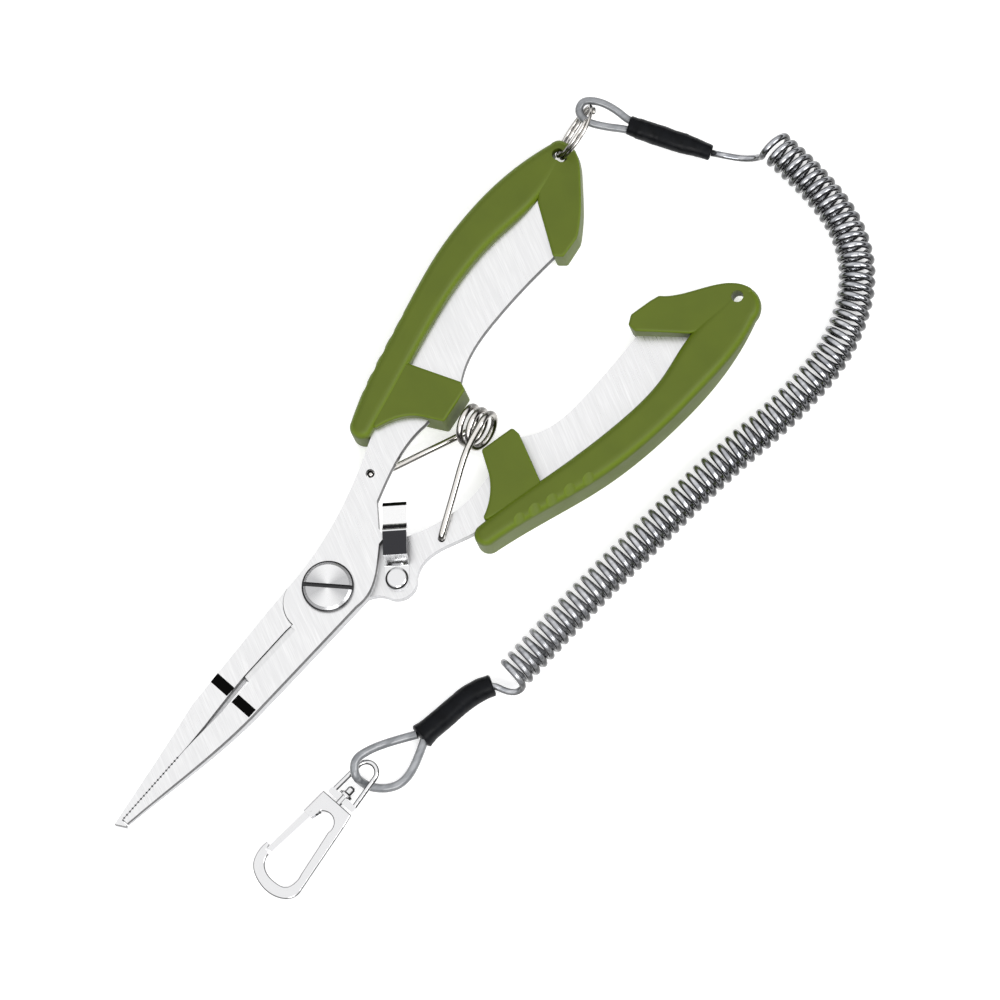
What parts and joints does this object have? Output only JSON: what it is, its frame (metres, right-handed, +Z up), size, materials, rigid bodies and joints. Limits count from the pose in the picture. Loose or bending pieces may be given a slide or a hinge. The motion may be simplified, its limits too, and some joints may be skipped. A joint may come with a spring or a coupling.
{
  "type": "fishing pliers",
  "caption": "Needle-nose fishing pliers with moulded D-shaped grips, torsion spring, swing latch and a coiled lanyard that ends in a swivel snap hook.",
  "frame": {"origin": "under the middle of the pliers' bounding box, on the surface that they lie on, without the lanyard", "axes": "+Y from the nose to the grips, +X towards the right-hand grip, +Z up from the surface"},
  "size_m": [0.0867, 0.2138, 0.0137],
  "materials": {
    "plate_steel": "satin brushed stainless steel",
    "turned_steel": "lathe-turned stainless steel",
    "grip_plastic": "satin moulded olive green plastic",
    "polished_chrome": "bright nickel-chrome plating",
    "spring_wire": "drawn stainless spring wire",
    "clear_cord": "clear jacket over a stranded steel core",
    "grey_cord": "clear jacket over a grey stranded core",
    "shrink_sleeve": "black heat-shrink tube",
    "ferrule_metal": "crimped aluminium"
  },
  "bodies": {
    "back_half": {"back_plate": "plate_steel", "right_grip": "grip_plastic", "pivot_screw": "turned_steel", "pivot_nut": "turned_steel", "latch_rivet": "polished_chrome", "torsion_spring": "spring_wire", "coil_cord": "clear_cord", "cord_lead_far": "clear_cord", "shrink_far": "shrink_sleeve", "ferrule_far": "ferrule_metal", "cord_loop_far": "grey_cord", "swivel_bow": "polished_chrome"},
    "front_half": {"front_plate": "plate_steel", "left_grip": "grip_plastic", "cord_loop_near": "grey_cord", "ferrule_near": "ferrule_metal", "shrink_near": "shrink_sleeve", "cord_lead_near": "clear_cord"},
    "latch": {"lock_latch": "polished_chrome"},
    "ring": {"split_ring": "spring_wire"},
    "hook": {"snap_hook": "polished_chrome", "swivel_post": "polished_chrome", "gate_pin": "polished_chrome"},
    "gate": {"hook_gate": "polished_chrome"}
  },
  "joints": [
    {"name": "main_pivot", "type": "hinge", "parent": "back_half", "child": "front_half", "pos_m": [0.0015, -0.0207, 0.0055], "axis": [0, 0, 1], "range_deg": [0, 18], "stiffness_Nm_per_rad": 0.15, "springref_deg": 34.38, "deforming": ["torsion_spring"]},
    {"name": "latch_swing", "type": "hinge", "parent": "back_half", "child": "latch", "pos_m": [0.0114, -0.0091, 0.006], "axis": [0, 0, -1], "range_deg": [-3, 22]},
    {"name": "ring_turn", "type": "hinge", "parent": "front_half", "child": "ring", "pos_m": [-0.02846, 0.09137, 0.00709], "axis": [0.9006, 0.1905, -0.3907], "continuous": true},
    {"name": "swivel_turn", "type": "hinge", "parent": "back_half", "child": "hook", "pos_m": [0.0356, -0.0546, 0.00275], "axis": [0, 0.999, 0.0454], "continuous": true},
    {"name": "gate_hinge", "type": "hinge", "parent": "hook", "child": "gate", "pos_m": [0.03215, -0.0598, 0.00251], "axis": [0, -0.0454, 0.999], "range_deg": [0, 22], "stiffness_Nm_per_rad": 0.01, "springref_deg": -17.19}
  ]
}
